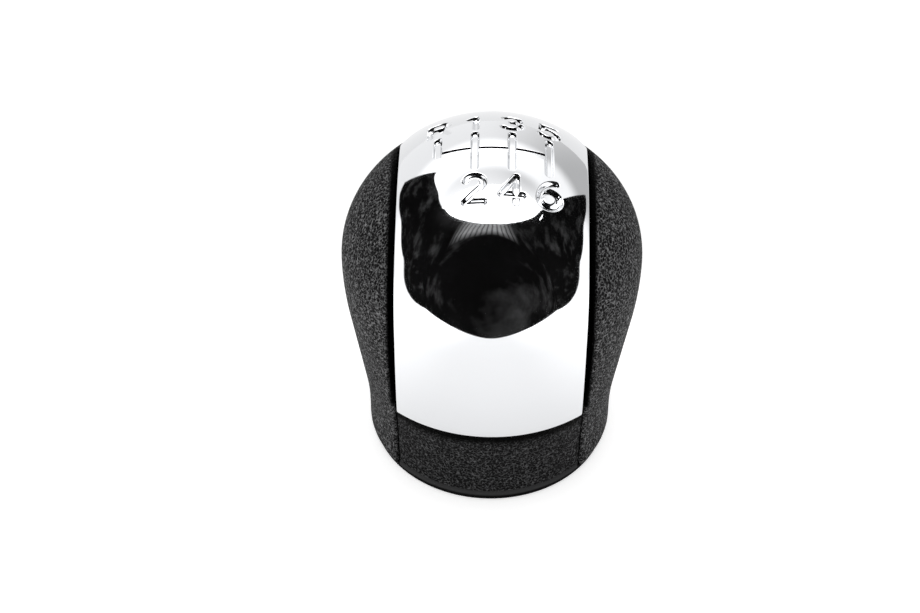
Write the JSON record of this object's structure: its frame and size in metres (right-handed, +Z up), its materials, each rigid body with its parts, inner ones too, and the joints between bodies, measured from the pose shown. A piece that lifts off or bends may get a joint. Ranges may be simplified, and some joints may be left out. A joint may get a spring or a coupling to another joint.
{
  "type": "gear shift knob",
  "caption": "Gear shift knob: a chrome strap with a shift pattern runs up the front and over the head between two black grained grips, on a flared neck with a lever bore in its base.",
  "frame": {"origin": "on the lever axis at the underside, in the mouth of the lever bore", "axes": "+Z up along the lever towards the crown, -Y towards the driver's side of the strap, where its lower edge is, +X to the right as seen from there"},
  "size_m": [0.0572, 0.0575, 0.0685],
  "materials": {
    "chrome_plate": "bright plated plastic",
    "grained_plastic": "soft black with a fine leather grain",
    "black_plastic": "fine matte",
    "core_plastic": "moulded, glass filled",
    "bush_plastic": "natural acetal",
    "screw_steel": "zinc plated"
  },
  "bodies": {
    "root": {"cover_plate": "chrome_plate", "left_grip": "grained_plastic", "right_grip": "grained_plastic", "front_apron": "grained_plastic", "base_plate": "black_plastic", "base_screws": "screw_steel", "lever_bush": "bush_plastic", "core": "core_plastic"}
  },
  "joints": []
}
